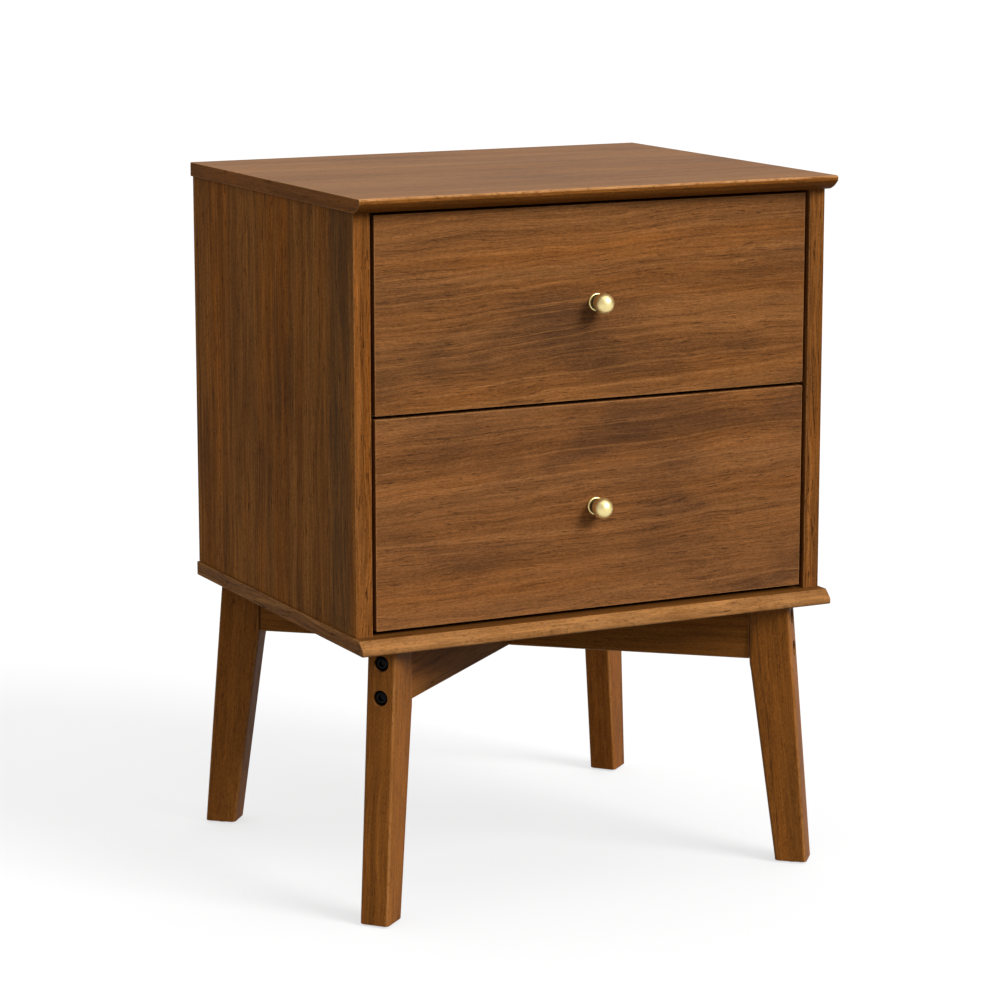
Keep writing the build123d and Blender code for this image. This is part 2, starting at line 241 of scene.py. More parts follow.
def carved(bm, cutters):
    """The bmesh with closed cutters taken away."""
    def plain(name, source):
        mesh = bpy.data.meshes.new(name)
        source.to_mesh(mesh)
        source.free()
        holder = bpy.data.objects.new(name, mesh)
        bpy.context.scene.collection.objects.link(holder)
        return holder

    stock, tool = plain("stock", bm), plain("tool", merged(cutters))
    cut = stock.modifiers.new("cut", "BOOLEAN")
    cut.object = tool
    cut.operation = "DIFFERENCE"
    cut.solver = "EXACT"
    evaluated = stock.evaluated_get(bpy.context.evaluated_depsgraph_get())
    result = bmesh.new()
    result.from_mesh(evaluated.to_mesh())
    evaluated.to_mesh_clear()
    for holder in (stock, tool):
        mesh = holder.data
        bpy.data.objects.remove(holder)
        bpy.data.meshes.remove(mesh)
    return result


def store(mesh, name, kind, domain, values):
    """Writes one attribute of a mesh."""
    attribute = mesh.attributes.get(name) or mesh.attributes.new(name, kind, domain)
    key = "vector" if kind == "FLOAT_VECTOR" else "value"
    attribute.data.foreach_set(key, np.asarray(values, dtype=np.float32).ravel())


def lay_grain(mesh, along, across, seed, banded=False):
    """Board coordinates on each face corner: metres along the grain, across it and through it.

    A banded board's ends carry strips whose grain runs across the board.
    """
    axes = np.array([along, across, Vector(along).cross(Vector(across))], dtype=float)
    points = np.empty(len(mesh.vertices) * 3)
    mesh.vertices.foreach_get("co", points)
    points = points.reshape(-1, 3)
    points -= (points.min(0) + points.max(0)) / 2
    normals = np.empty(len(mesh.polygons) * 3)
    mesh.polygons.foreach_get("normal", normals)
    ends = np.abs(normals.reshape(-1, 3) @ axes[0])
    corners = np.empty(len(mesh.loops), dtype=int)
    mesh.loops.foreach_get("vertex_index", corners)
    counts = np.empty(len(mesh.polygons), dtype=int)
    mesh.polygons.foreach_get("loop_total", counts)
    grain = points[corners] @ axes.T
    if banded:
        strip = np.repeat(ends > 0.7, counts)
        grain[strip] = grain[strip][:, [1, 2, 0]]
        ends = ends * 0
    store(mesh, "grain", "FLOAT_VECTOR", "CORNER", grain)
    store(mesh, "board", "FLOAT", "POINT", np.full(len(points), float(seed)))
    store(mesh, "end_grain", "FLOAT", "FACE", ends)


def piece(name, bm, finish, body="carcass", nodes=(), grain=None):
    """Turns a bmesh into a piece that rides on a body and stands for CAD nodes."""
    mesh = bpy.data.meshes.new(name)
    bm.to_mesh(mesh)
    bm.free()
    for choice in finish if isinstance(finish, tuple) else (finish,):
        mesh.materials.append(choice)
    mesh.polygons.foreach_set("use_smooth", [True] * len(mesh.polygons))
    mesh.set_sharp_from_angle(angle=SMOOTH_ANGLE)
    if grain:
        lay_grain(mesh, *grain)
    made = bpy.data.objects.new(name, mesh)
    bpy.context.scene.collection.objects.link(made)
    even = made.modifiers.new("even shading", "WEIGHTED_NORMAL")
    even.keep_sharp = True
    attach(made, body)
    if nodes:
        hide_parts(*nodes)
    return made


def finish_node(node, finish):
    """Gives a CAD node its material."""
    mesh_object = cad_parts[node]
    if not mesh_object.material_slots:
        mesh_object.data.materials.append(finish)
    for holder in mesh_object.material_slots:
        holder.material = finish


# ---- materials ------------------------------------------------------------------------------
class Recipe:
    """Short calls for wiring one material."""

    def __init__(self, name, **constants):
        self.material = bpy.data.materials.new(name)
        self.material.use_nodes = True
        self.tree = self.material.node_tree
        self.shader = self.tree.nodes["Principled BSDF"]
        for key, value in constants.items():
            self.shader.inputs[key.replace("_", " ")].default_value = value

    def node(self, kind, **settings):
        """Adds a shader node."""
        made = self.tree.nodes.new("ShaderNode" + kind)
        for key, value in settings.items():
            setattr(made, key, value)
        return made

    def feed(self, socket, value):
        """Links a socket to another one, or sets its number."""
        if isinstance(value, bpy.types.NodeSocket):
            self.tree.links.new(value, socket)
        else:
            socket.default_value = value

    def read(self, attribute, output="Fac"):
        """Reads an attribute of the mesh."""
        return self.node("Attribute", attribute_name=attribute).outputs[output]

    def maths(self, operation, *values, clamp=False):
        made = self.node("Math", operation=operation, use_clamp=clamp)
        for socket, value in zip(made.inputs, values):
            self.feed(socket, value)
        return made.outputs[0]

    def vector(self, operation, *values):
        made = self.node("VectorMath", operation=operation)
        for socket, value in zip(made.inputs, values):
            self.feed(socket, value)
        return made.outputs["Value" if operation in ("LENGTH", "DOT_PRODUCT") else "Vector"]

    def combine(self, x, y, z):
        made = self.node("CombineXYZ")
        for socket, value in zip(made.inputs, (x, y, z)):
            self.feed(socket, value)
        return made.outputs[0]

    def noise(self, where, stretch=(1, 1, 1), scale=1.0, detail=2.0, rough=0.5, warp=0.0):
        """Noise in space; stretch is how fine it is along each axis."""
        made = self.node("TexNoise")
        self.feed(made.inputs["Vector"], self.vector("MULTIPLY", where, stretch))
        for key, value in (("Scale", scale), ("Detail", detail), ("Roughness", rough),
                           ("Distortion", warp)):
            made.inputs[key].default_value = value
        return made.outputs["Fac"]

    def noise_line(self, where, scale, detail=2.0, rough=0.5):
        """Noise along one number."""
        made = self.node("TexNoise", noise_dimensions="1D")
        self.feed(made.inputs["W"], where)
        for key, value in (("Scale", scale), ("Detail", detail), ("Roughness", rough)):
            made.inputs[key].default_value = value
        return made.outputs["Fac"]

    def between(self, value, low, high, out_low=0.0, out_high=1.0):
        """Smooth step from low to high."""
        made = self.node("MapRange", interpolation_type="SMOOTHSTEP")
        self.feed(made.inputs["Value"], value)
        for key, number in (("From Min", low), ("From Max", high),
                            ("To Min", out_low), ("To Max", out_high)):
            made.inputs[key].default_value = number
        return made.outputs[0]

    def mix(self, amount, first, second, blend="MIX"):
        """Blends the second colour over the first."""
        made = self.node("Mix", data_type="RGBA", blend_type=blend)
        self.feed(made.inputs[0], amount)
        for socket, value in ((made.inputs[6], first), (made.inputs[7], second)):
            self.feed(socket, value if isinstance(value, bpy.types.NodeSocket) else (*value, 1))
        return made.outputs[2]

    def bump(self, height, strength, distance):
        """Gives the surface its relief."""
        made = self.node("Bump")
        made.inputs["Strength"].default_value = strength
        made.inputs["Distance"].default_value = distance
        self.feed(made.inputs["Height"], height)
        self.feed(self.shader.inputs["Normal"], made.outputs[0])

    def done(self, **links):
        """Feeds the shader and hands over the material."""
        for key, value in links.items():
            self.feed(self.shader.inputs[key.replace("_", " ")], value)
        return self.material


def colours():
    """The stain and metal colours that the user set."""
    return bpy.context.scene.nightstand_finish


def stained_wood(name, pith=(0.02, 0.09), ring=230, taper=0.05, wander=0.03, red=0.5, dark=0.7,
                 shade=(1, 1, 1), gloss=0.48, sheen=0.012, figure=1.0, wear=1.0, pitch=1.0,
                 vein=None):
    """Stained open-pored wood. The rings run round a pith at (across, depth) from the board's centre.

    A dark streak runs along the grain: its place across the board and half its width.
    """
    tone = colours()
    r = Recipe(name, IOR=1.5, Specular_IOR_Level=sheen)
    grain = r.read("grain", "Vector")
    seed = r.read("board")
    place = r.vector("ADD", grain, r.combine(seed, seed, seed))
    split = r.node("SeparateXYZ")
    r.feed(split.inputs[0], grain)

    # growth rings, which sway and drift along the board
    sway = r.noise(place, (2.2, 9, 9), detail=3)
    drift = r.noise(place, (9, 26, 26), detail=2, rough=0.5)
    offset = r.maths("MULTIPLY_ADD", sway, wander, pith[0] - wander / 2)
    across = r.maths("ADD", split.outputs[1], offset)
    across = r.maths("ADD", across, r.maths("MULTIPLY", drift, 0.012))
    depth = r.maths("ADD", split.outputs[2], pith[1])
    radius = r.vector("LENGTH", r.combine(across, depth, 0.0))
    radius = r.maths("MULTIPLY_ADD", split.outputs[0], taper, radius)
    radius = r.maths("ADD", radius, r.maths("MULTIPLY", seed, 1.37))
    rings = r.noise_line(radius, ring, detail=3, rough=0.7)
    broad = r.noise_line(radius, ring / 7, detail=1)

    # fibres, bands, pores and blotches
    flow = r.combine(split.outputs[0], r.maths("MULTIPLY_ADD", drift, 0.016, split.outputs[1]),
                     split.outputs[2])
    flow = r.vector("ADD", flow, r.combine(seed, seed, seed))
    fibre = r.noise(flow, (22, 900 * pitch, 900 * pitch), detail=3, rough=0.6)
    band = r.noise(flow, (3.5, 150 * pitch, 150 * pitch), detail=4, rough=0.65)
    fine = r.noise(flow, (380, 1500 * pitch, 1500 * pitch), detail=2, rough=0.6)
    dash = r.noise(flow, (75, 950 * pitch, 950 * pitch), detail=1.5, rough=0.5)
    cloud = r.noise(place, (6, 14, 14), detail=3, rough=0.5, warp=0.3)
    mottle = r.noise(place, (26, 55, 55), detail=3, rough=0.6)
    stripe = r.noise(place, (1.6, 30, 30), detail=3, rough=0.55)
    pores = r.maths("MULTIPLY", r.between(dash, 0.60, 0.70), r.between(mottle, 0.35, 0.6, 0.25, 1))
    line = r.maths("MULTIPLY", r.between(rings, 0.58, 0.74), r.between(mottle, 0.3, 0.62, 0.2, 1))

    # stain
    wood = r.mix(r.between(broad, 0.30, 0.70, 0.1, 0.62), tone.stain_mid, tone.stain_light)
    wood = r.mix(r.between(stripe, 0.44, 0.68, 0, red), wood, tone.stain_red)
    wood = r.mix(r.between(cloud, 0.42, 0.72, 0, dark), wood, tone.stain_dark)
    wood = r.mix(r.maths("MULTIPLY", line, 0.6 * figure), wood, tone.stain_dark)
    lift = r.maths("MULTIPLY", r.between(rings, 0.46, 0.32), 0.5 * figure)
    wood = r.mix(lift, wood, tone.stain_light)
    streak = r.maths("MULTIPLY", r.between(fibre, 0.3, 0.7, 1 - 0.17 * figure, 1 + 0.17 * figure),
                     r.between(band, 0.32, 0.68, 1 - 0.17 * figure, 1 + 0.15 * figure))
    wood = r.mix(1.0, wood, r.combine(streak, streak, streak), "MULTIPLY")
    speck = r.between(fine, 0.28, 0.72, 0.76, 1.22)
    wood = r.mix(1.0, wood, r.combine(speck, speck, speck), "MULTIPLY")
    wood = r.mix(r.maths("MULTIPLY", pores, 0.55 * figure), wood, tone.pore)
    if vein:
        vein_place, vein_half = vein
        bend = 0.03
        bent = r.maths("MULTIPLY_ADD", sway, bend, split.outputs[1])
        aside = r.maths("ABSOLUTE", r.maths("ADD", bent, -bend / 2 - vein_place))
        smoky = r.maths("MULTIPLY", r.between(aside, vein_half, vein_half * 0.3),
                        r.between(fibre, 0.35, 0.6, 0.62, 0.3))
        smoke = tuple(c * f for c, f in zip(tone.stain_dark, (0.62, 0.9, 1.5)))
        wood = r.mix(smoky, wood, smoke)
    if shade != (1, 1, 1):
        wood = r.mix(1.0, wood, shade, "MULTIPLY")

    # worn edges lighter, with stain left in their nicks; on the noses the lighter edge colour is also a
    # painted highlight; and darker end grain
    nicks = r.between(r.noise(place, (260, 420, 420), detail=2), 0.36, 0.46, 0.3, 1)
    rubbed_and_highlit = r.maths("MULTIPLY", r.read("arris"), r.between(mottle, 0.3, 0.62, 0.4 * wear, wear))
    rubbed_and_highlit = r.maths("MULTIPLY", rubbed_and_highlit, nicks)
    wood = r.mix(rubbed_and_highlit, wood, tone.stain_pale)
    wood = r.mix(r.between(r.read("end_grain"), 0.6, 0.95, 0, 0.35), wood, tone.stain_dark)

    # relief and gloss
    height = r.maths("MULTIPLY_ADD", fibre, 0.5, r.maths("MULTIPLY", fine, 0.25))
    height = r.maths("SUBTRACT", height, r.maths("MULTIPLY", pores, 0.8))
    height = r.maths("SUBTRACT", height, r.maths("MULTIPLY", line, 0.25))
    r.bump(height, 0.6, 0.0004)
    rough = r.maths("MULTIPLY_ADD", fibre, 0.14, gloss - 0.07)
    rough = r.maths("MULTIPLY_ADD", pores, 0.18, rough)
    return r.done(Base_Color=wood, Roughness=rough)


def plywood(name, ply=0.0016, tint=1.0):
    """Pale plywood: thin plies show on the edges, a rotary-cut face outside."""
    tone = colours()
    pale = tuple(min(1, c * tint) for c in tone.plywood)
    deep = tuple(c * 0.55 for c in pale)
    r = Recipe(name, IOR=1.48)
    grain = r.read("grain", "Vector")
    seed = r.read("board")
    place = r.vector("ADD", grain, r.combine(seed, seed, seed))
    split = r.node("SeparateXYZ")
    r.feed(split.inputs[0], grain)
    wobble = r.noise(place, (14, 14, 14))
    layer = r.maths("ADD", r.maths("DIVIDE", split.outputs[2], ply), r.maths("MULTIPLY", wobble, 0.3))
    turn = r.maths("PINGPONG", layer, 1.0)
    glue = r.between(r.maths("ABSOLUTE", r.maths("SUBTRACT", turn, 0.5)), 0.5, 0.38)
    figure = r.noise(place, (3, 30, 30), detail=5, rough=0.6, warp=0.8)
    fibre = r.noise(place, (14, 700, 700), detail=3, rough=0.6)
    wood = r.mix(r.between(figure, 0.35, 0.7, 0, 0.55), pale, deep)
    wood = r.mix(r.between(fibre, 0.3, 0.75, 0, 0.4), wood, deep)
    edge = r.maths("MULTIPLY", r.between(turn, 0.4, 0.6), 0.35)
    wood = r.mix(edge, wood, deep)
    wood = r.mix(r.maths("MULTIPLY", r.maths("SUBTRACT", 1.0, glue), 0.25), wood, deep)
    r.bump(r.maths("ADD", fibre, r.maths("MULTIPLY", turn, 0.3)), 0.35, 0.0003)
    rough = r.between(fibre, 0.2, 0.8, 0.45, 0.62)
    return r.done(Base_Color=wood, Roughness=rough)


def object_place(r):
    """Coordinates that stay with the piece."""
    return r.node("TexCoord").outputs["Object"]


def fibreboard(name):
    """Brown pressed fibres, for the thin back panel and the hidden dowels."""
    tone = colours()
    r = Recipe(name, IOR=1.45, Specular_IOR_Level=0.15)
    place = object_place(r)
    flock = r.noise(place, (420, 420, 420), detail=4, rough=0.75)
    haze = r.noise(place, (7, 7, 7), detail=5, rough=0.6)
    rolled = r.noise(place, (60, 60, 3), detail=3, rough=0.6)
    wood = r.mix(r.between(flock, 0.35, 0.7), tone.stain_dark, tone.stain_light)
    wood = r.mix(r.between(haze, 0.38, 0.68, 0, 0.55), wood, tone.stain_mid)
    wood = r.mix(r.between(rolled, 0.4, 0.7, 0, 0.3), wood, tone.stain_pale)
    r.bump(flock, 0.5, 0.0002)
    return r.done(Base_Color=wood, Roughness=r.between(flock, 0.3, 0.7, 0.62, 0.8))


def satin_brass(name):
    """Pale satin brass with fine turning marks, a faint tarnish, and painted shade in the rosettes'
    hollow.
    """
    tone = colours()
    r = Recipe(name, Metallic=1.0)
    place = object_place(r)
    tarnish = r.noise(place, (260, 260, 260), detail=4, rough=0.6)
    lathe = r.noise(place, (600, 9000, 600), detail=2)
    deep = tuple(c * f for c, f in zip(tone.brass, (0.72, 0.66, 0.55)))
    metal = r.mix(r.between(tarnish, 0.5, 0.8, 0, 0.45), tone.brass, deep)
    metal = r.mix(r.between(lathe, 0.3, 0.8, 0, 0.12), metal, deep)
    # The rosettes' sunk face is darkened almost to the hollow colour: painted shade and reflection of
    # the ball.
    metal = r.mix(r.maths("MULTIPLY", r.read("recess"), 0.93), metal, tone.hollow_shade)
    r.bump(r.maths("ADD", lathe, tarnish), 0.04, 0.00001)
    return r.done(Base_Color=metal, Roughness=r.between(tarnish, 0.3, 0.8, 0.36, 0.48))


def zinc_plate(name):
    """Bright zinc with a faint spangle and rolling marks."""
    tone = colours()
    r = Recipe(name, Metallic=1.0)
    place = object_place(r)
    spangle = r.noise(place, (350, 350, 350), detail=3, rough=0.7)
    rolled = r.noise(place, (1600, 40, 1600), detail=3)
    dull = tuple(c * 0.6 for c in tone.steel)
    metal = r.mix(r.between(spangle, 0.4, 0.75, 0, 0.5), tone.steel, dull)
    metal = r.mix(r.between(rolled, 0.35, 0.75, 0, 0.3), metal, dull)
    r.bump(rolled, 0.15, 0.00005)
    return r.done(Base_Color=metal, Roughness=r.between(spangle, 0.3, 0.8, 0.26, 0.44))


def black_gloss(name):
    """Glossy black oxide with a light film of dust."""
    tone = colours()
    r = Recipe(name, Specular_IOR_Level=0.03, Coat_Weight=0.08, Coat_Roughness=0.06)
    place = object_place(r)
    dust = r.noise(place, (420, 420, 420), detail=4, rough=0.65)
    shade = r.mix(r.between(dust, 0.55, 0.85, 0, 0.5), tone.black, (0.014, 0.012, 0.010))
    r.bump(dust, 0.1, 0.00008)
    return r.done(Base_Color=shade, Roughness=r.between(dust, 0.35, 0.8, 0.10, 0.24))


def felt(name):
    """Dark brown felt."""
    r = Recipe(name, Sheen_Weight=0.4, Sheen_Roughness=0.5)
    place = object_place(r)
    hair = r.noise(place, (1800, 1800, 1800), detail=3, rough=0.75)
    shade = r.mix(r.between(hair, 0.3, 0.75), (0.030, 0.018, 0.011), (0.095, 0.062, 0.042))
    r.bump(hair, 0.8, 0.0004)
    return r.done(Base_Color=shade, Roughness=r.between(hair, 0.2, 0.8, 0.85, 1.0))


def studio_floor(name):
    """Pale painted floor with the faintest unevenness."""
    studio = bpy.context.scene.nightstand_studio
    r = Recipe(name, Specular_IOR_Level=0.0, Emission_Color=(1, 1, 1, 1),
               Emission_Strength=studio.floor_glow)
    place = object_place(r)
    mottle = r.noise(place, (3, 3, 3), detail=3)
    shade = r.mix(mottle, tuple(studio.floor), tuple(c * 0.98 for c in studio.floor))
    r.bump(r.noise(place, (300, 300, 300)), 0.02, 0.0002)
    return r.done(Base_Color=shade, Roughness=r.between(mottle, 0.3, 0.7, 0.75, 0.8))


def material(name, make, **choices):
    """A material by name, made on first use."""
    return bpy.data.materials.get(name) or make(name, **choices)


# ---- case -----------------------------------------------------------------------------------
def across_panel(y, z, x):
    """Puts an outline drawn from the side at a place along X."""
    return Vector((x, y, z))


class NIGHTSTAND_OT_top_panel(bpy.types.Operator):
    """Top with a rounded nose that slopes back underneath"""
    bl_idname = "nightstand.top_panel"
    bl_label = "Top Panel"

    def execute(self, context):
        case = context.scene.nightstand_case
        low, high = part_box("top_panel")
        nose_y, nose_z = low.y, high.z - case.nose
        radius = case.nose_radius
        outline = [(high.y, high.z), (high.y, low.z), (low.y + case.top_bevel, low.z)]
        bulge, slope_steps = 0.0009, 6
        for i in range(1, slope_steps):
            t = i / slope_steps
            outline.append((low.y + case.top_bevel * (1 - t) - bulge * sin(pi * t),
                            low.z + (nose_z - low.z) * t - bulge * sin(pi * t)))
        outline += arc((nose_y + radius, nose_z + radius * 0.35), radius, 205, 180, 3)
        outline += arc((nose_y + radius, high.z - radius), radius, 180, 90)
        bm = soften(prism(outline, low.x, high.x, across_panel), case.arris)
        # The nose's upper rounding takes the lighter edge colour as a painted highlight, with real
        # nicks in it.
        rounding_z = high.z - 1.1 * radius
        mark_worn_and_highlit(bm, lambda face: face.normal.y < -0.3
                  and face.calc_center_median().z > rounding_z)
        # The top face and all other faces get lit and shaded copies of one stain: the darker copy on
        # the nose, bevel and ends is painted shade.
        for face in bm.faces:
            face.material_index = 0 if face.normal.z > 0.9 else 1
        look = dict(pith=(0.05, 0.13), taper=0.03, red=0.25, dark=0.35)
        finishes = (material("top_wood", stained_wood, sheen=0.3, shade=(0.95, 0.98, 1.0), figure=0.6,
                             **look),
                    material("top_edge_wood", stained_wood, shade=(0.84, 0.70, 0.46), **look))
        piece("top_panel_wood", bm, finishes, nodes=["top_panel"],
              grain=((1, 0, 0), (0, 1, 0), 1.3, True))
        return {"FINISHED"}


class NIGHTSTAND_OT_bottom_panel(bpy.types.Operator):
    """Bottom panel with a front edge that slopes back on top"""
    bl_idname = "nightstand.bottom_panel"
    bl_label = "Bottom Panel"

    def execute(self, context):
        case = context.scene.nightstand_case
        low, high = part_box("bottom_panel")
        radius = case.nose_radius
        top_y = low.y + case.bottom_bevel
        outline = [(high.y, high.z), (high.y, low.z), (low.y + radius, low.z)]
        outline += arc((low.y + radius, low.z + radius), radius, 270, 180)[1:]
        # eased bend from the nose into the slope, and from the slope onto the flat
        outline += [(low.y, low.z + case.nose), (low.y + 0.0006, low.z + case.nose + 0.0014)]
        outline += [(top_y - 0.0008, high.z - 0.0012), (top_y + 0.0004, high.z - 0.0003),
                    (top_y + 0.0016, high.z)]
        bm = soften(prism(outline, low.x, high.x, across_panel), case.arris)
        # The front nose and slope take the lighter edge colour: part real wear, part painted highlight
        # on the lit slope.
        mark_worn_and_highlit(bm, lambda face: face.normal.y < -0.4)
        # The flat top, under the drawers, gets a darker copy of the stain: painted shade.
        for face in bm.faces:
            face.material_index = 1 if face.normal.z > 0.9 else 0
        look = dict(pith=(0.12, 0.03), taper=0.02, red=0.35, dark=0.2)
        wood = (material("shelf_edge_wood", stained_wood, wear=0.42, figure=1.6, **look),
                material("shelf_wood", stained_wood, shade=(0.6, 0.55, 0.45), **look))
        piece("bottom_panel_wood", bm, wood, nodes=["bottom_panel"],
              grain=((1, 0, 0), (0, 1, 0), 2.9, True))
        return {"FINISHED"}


class NIGHTSTAND_OT_side_panels(bpy.types.Operator):
    """Side panels with a solid band on the front edge"""
    bl_idname = "nightstand.side_panels"
    bl_label = "Side Panels"

    def execute(self, context):
        case = context.scene.nightstand_case
        veneer = material("side_wood", stained_wood, pith=(0.16, 0.05), taper=0.015, red=0.9,
                          dark=0.55, shade=(0.95, 0.87, 0.72), sheen=0.004, figure=1.3,
                          pitch=0.5, vein=(-0.150, 0.035))
        band_wood = material("band_wood", stained_wood, pith=(0.04, 0.03), taper=0.04, red=0.95,
                             dark=0.5, shade=(0.79, 0.69, 0.58), sheen=0.004, figure=1.6)
        for order, side in enumerate(SIDES):
            low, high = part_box(f"side_panel_{side}")
            joint_y = low.y + case.band
            panel = board((low.x, joint_y, low.z), high, case.arris * 0.4)
            piece(f"side_panel_{side}_wood", panel, veneer,
                  nodes=[f"side_panel_{side}"], grain=(UP, (0, 1, 0), 4.1 + 1.7 * order))
            band = board(low, (high.x, joint_y, high.z), case.arris * 0.6)
            piece(f"side_panel_{side}_band", band, band_wood,
                  grain=(UP, (1, 0, 0), 7.7 + 2.3 * order))
        return {"FINISHED"}


class NIGHTSTAND_OT_back_panel(bpy.types.Operator):
    """Thin back panel with its screws"""
    bl_idname = "nightstand.back_panel"
    bl_label = "Back Panel"

    def execute(self, context):
        low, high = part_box("back_panel")
        arris, inset, gaps = 0.0005, 0.012, 4
        piece("back_panel_board", board(low, high, arris), material("hardboard", fibreboard),
              nodes=["back_panel"])
        screws = []
        for i in range(gaps + 1):
            z = low.z + inset + (high.z - low.z - 2 * inset) * (i / gaps)
            screws += [(x, z) for x in (low.x + inset, high.x - inset)]
        for z in (low.z + inset, high.z - inset):
            screws += [(low.x + (high.x - low.x) * i / gaps, z) for i in range(1, gaps)]
        head_radius, head_height = 0.0032, 0.0016
        heads = [pan_head((x, high.y, z), (0, 1, 0), head_radius, head_height) for x, z in screws]
        piece("back_panel_screws", merged(heads), material("zinc", zinc_plate))
        return {"FINISHED"}


def pan_head(centre, axis, radius, height):
    """Domed screw head with a cross recess, standing on a surface."""
    shank, root = radius * 0.6, -0.0008
    profile = [(root, 0), (root, shank), (0, shank), (0, radius), (height * 0.35, radius),
               (height * 0.75, radius * 0.86), (height * 0.95, radius * 0.55), (height, 0)]
    head = turned(profile, centre, axis, steps=24)
    turn = Vector(axis).to_track_quat("Z", "Y").to_matrix()
    half_depth = height * 0.55
    for x, y in ((radius * 0.475, radius * 0.1), (radius * 0.1, radius * 0.475)):
        slot = board((-x, -y, height - half_depth), (x, y, height + half_depth), 0)
        slot.transform(Matrix.Translation(Vector(centre)) @ turn.to_4x4())
        head = carved(head, [slot])
    return head


class NIGHTSTAND_OT_divider_rail(bpy.types.Operator):
    """Rail between the drawers and the hidden dowels"""
    bl_idname = "nightstand.divider_rail"
    bl_label = "Divider Rail"

    def execute(self, context):
        case = context.scene.nightstand_case
        low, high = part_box("divider_rail")
        piece("divider_rail_wood", board(low, high, case.arris), material("box_ply", plywood),
              nodes=["divider_rail"], grain=((1, 0, 0), (0, 1, 0), 5.5))
        finish_node("carcass_dowels", material("dowel_birch", fibreboard))
        return {"FINISHED"}


# ---- drawers --------------------------------------------------------------------------------
class NIGHTSTAND_OT_drawer_fronts(bpy.types.Operator):
    """Drawer fronts with level grain and softened edges"""
    bl_idname = "nightstand.drawer_fronts"
    bl_label = "Drawer Fronts"

    def execute(self, context):
        case = context.scene.nightstand_case
        # seed of the board, lean of its grain, and its look
        boards = {"upper": (11.2, 0.03, dict(pith=(-0.13, 0.05), taper=0.03,
                                             shade=(0.95, 0.91, 1.0))),
                  "lower": (3.4, 0.04, dict(pith=(0.12, 0.05), taper=0.02,
                                            shade=(0.86, 0.82, 0.95)))}
        for drawer, (seed, lean, look) in boards.items():
            wood = material(f"{drawer}_front_wood", stained_wood, dark=0.9, **look)
            low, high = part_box(f"{drawer}_drawer_front")
            along = Vector((1, 0, lean)).normalized()
            across = Vector((-lean, 0, 1)).normalized()
            piece(f"{drawer}_drawer_front_wood", board(low, high, case.arris), wood,
                  f"{drawer}_drawer", [f"{drawer}_drawer_front"], (along, across, seed, True))
        return {"FINISHED"}


class NIGHTSTAND_OT_drawer_boxes(bpy.types.Operator):
    """Plywood drawer boxes, their bottoms and screws"""
    bl_idname = "nightstand.drawer_boxes"
    bl_label = "Drawer Boxes"

    def execute(self, context):
        ply = material("box_ply", plywood)
        thin = material("box_bottom_ply", plywood, ply=0.0012, tint=0.92)
        zinc = material("zinc", zinc_plate)
        wall_arris, bottom_arris = 0.0012, 0.0004
        for order, drawer in enumerate(DRAWERS):
            body = f"{drawer}_drawer"
            walls = {"side_left": (0, 1, 0), "side_right": (0, 1, 0),
                     "front": (1, 0, 0), "back": (1, 0, 0)}
            for i, (wall, along) in enumerate(walls.items()):
                node = f"{drawer}_box_{wall}"
                low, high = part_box(node)
                piece(f"{node}_ply", board(low, high, wall_arris), ply, body, [node],
                      (along, UP, 6.1 + i + 5 * order))
            node = f"{drawer}_box_bottom"
            low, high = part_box(node)
            piece(f"{node}_ply", board(low, high, bottom_arris), thin, body, [node],
                  ((0, 1, 0), (1, 0, 0), 8.8 + order))
            finish_node(f"{drawer}_front_screws", zinc)
            finish_node(f"{drawer}_knob_screw", zinc)
        return {"FINISHED"}


def knob_profile(reach, radius, neck):
    """Stem and ball, with the ball's centre at reach."""
    first = 24
    stem_end = reach - radius * cos(radians(first)) - 0.0006
    profile = [(0, 0), (0, neck), (stem_end, neck)]
    profile += [(reach - radius * cos(radians(a)), radius * sin(radians(a)))
                for a in range(first, 180, 6)]
    return profile + [(reach + radius, 0)]


def rosette_profile(deep, rim, neck):
    """Disc with a rounded rim, and a sunk face between the rim and a collar round the stem."""
    rounding, sunk_face = 0.0010, deep - 0.0012
    profile = [(0, 0), (0, rim - 0.0003), (0.0003, rim)]
    profile += [(deep - rounding + rounding * sin(radians(a)),
                 rim - rounding + rounding * cos(radians(a))) for a in range(0, 91, 15)]
    return profile + [(deep - 0.0004, rim - 0.0012), (sunk_face, rim - 0.0014),
                      (sunk_face, neck + 0.0012), (deep, neck + 0.0004), (deep, 0)]


class NIGHTSTAND_OT_knobs(bpy.types.Operator):
    """Ball knobs on thin rosettes"""
    bl_idname = "nightstand.knobs"
    bl_label = "Knobs"

    def execute(self, context):
        brass = material("satin_brass", satin_brass)
        neck, forward, steps = 0.0034, (0, -1, 0), 64
        for drawer in DRAWERS:
            body = f"{drawer}_drawer"
            low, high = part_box(f"{drawer}_knob")
            middle = (low + high) / 2
            radius = (high.z - low.z) / 2
            reach = high.y - low.y - radius
            start = Vector((middle.x, high.y, middle.z))
            knob = turned(knob_profile(reach, radius, neck), start, forward, steps)
            piece(f"{drawer}_knob_brass", knob, brass, body, [f"{drawer}_knob"])

            low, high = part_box(f"{drawer}_knob_rosette")
            rim = (high.z - low.z) / 2
            start = Vector((middle.x, high.y, middle.z))
            disc = turned(rosette_profile(high.y - low.y, rim, neck), start, forward, steps)
            # Marks the rosette's sunk face, which the brass darkens as painted shade.
            hollow = disc.faces.layers.float.new("recess")
            for face in disc.faces:
                spot = face.calc_center_median() - start
                inside = Vector((spot.x, spot.z)).length < rim - 0.0011
                face[hollow] = 1.0 if inside and spot.y < -0.0001 else 0.0
            piece(f"{drawer}_knob_rosette_brass", disc, brass, body,
                  [f"{drawer}_knob_rosette"])
        return {"FINISHED"}


